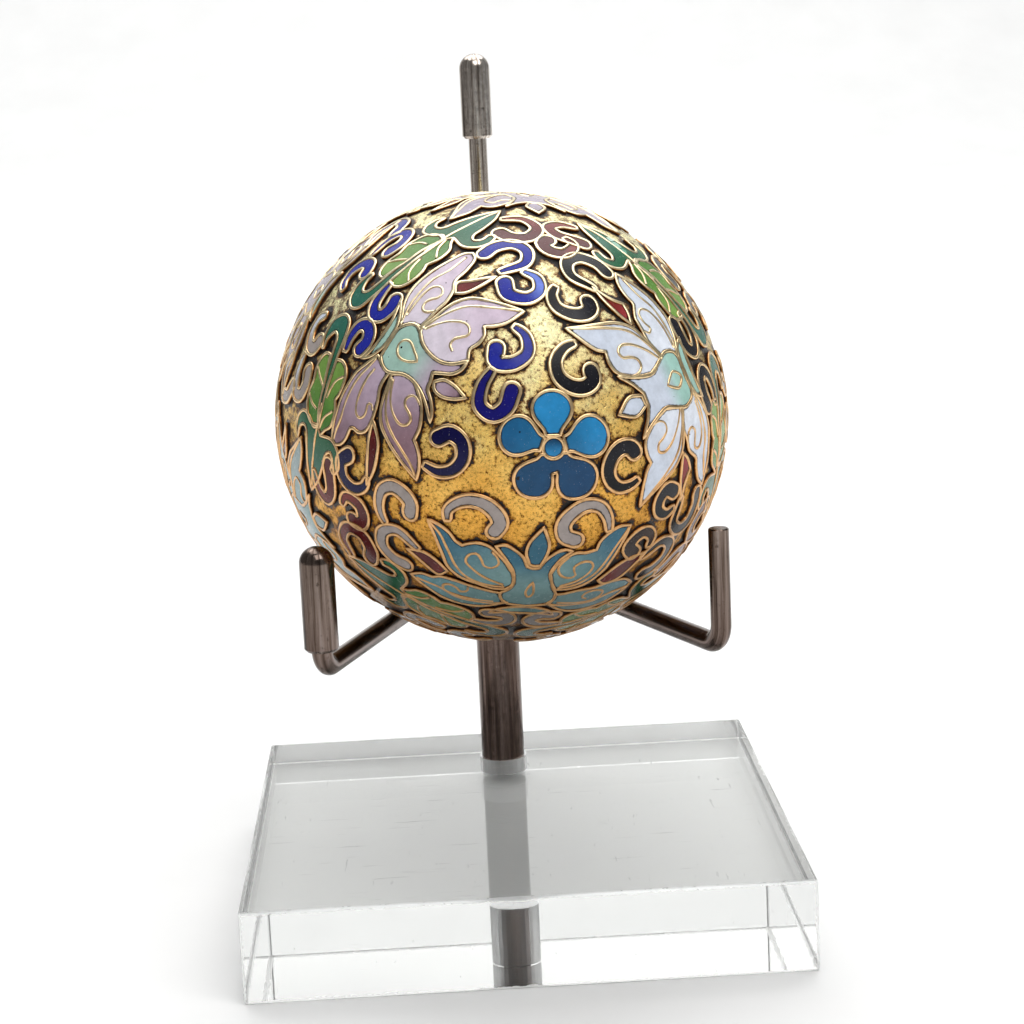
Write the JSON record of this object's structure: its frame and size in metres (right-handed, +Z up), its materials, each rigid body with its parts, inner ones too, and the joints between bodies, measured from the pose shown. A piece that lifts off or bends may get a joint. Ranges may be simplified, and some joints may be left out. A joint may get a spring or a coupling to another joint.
{
  "type": "cloisonne egg on stand",
  "caption": "Enamelled ornamental egg lying end-on in a bent-wire cradle with a back rod, standing in a square clear acrylic block.",
  "frame": {"origin": "middle of the clear block's underside", "axes": "+Z up along the post and the back rod, +X to the right seen from the front, -Y towards the viewer and the egg's blunt end"},
  "size_m": [0.0762, 0.0879, 0.121],
  "materials": {
    "clear_acrylic": "polished clear acrylic",
    "nickel_plate": "worn nickel plate with a warm cast",
    "enamelled_metal": "grainy gilt ground with raised wire cells of enamel"
  },
  "bodies": {
    "root": {"base_block": "clear_acrylic", "post": "nickel_plate", "left_arm": "nickel_plate", "right_arm": "nickel_plate", "back_rod": "nickel_plate", "left_cap": "nickel_plate", "back_cap": "nickel_plate", "egg": "enamelled_metal"}
  },
  "joints": []
}
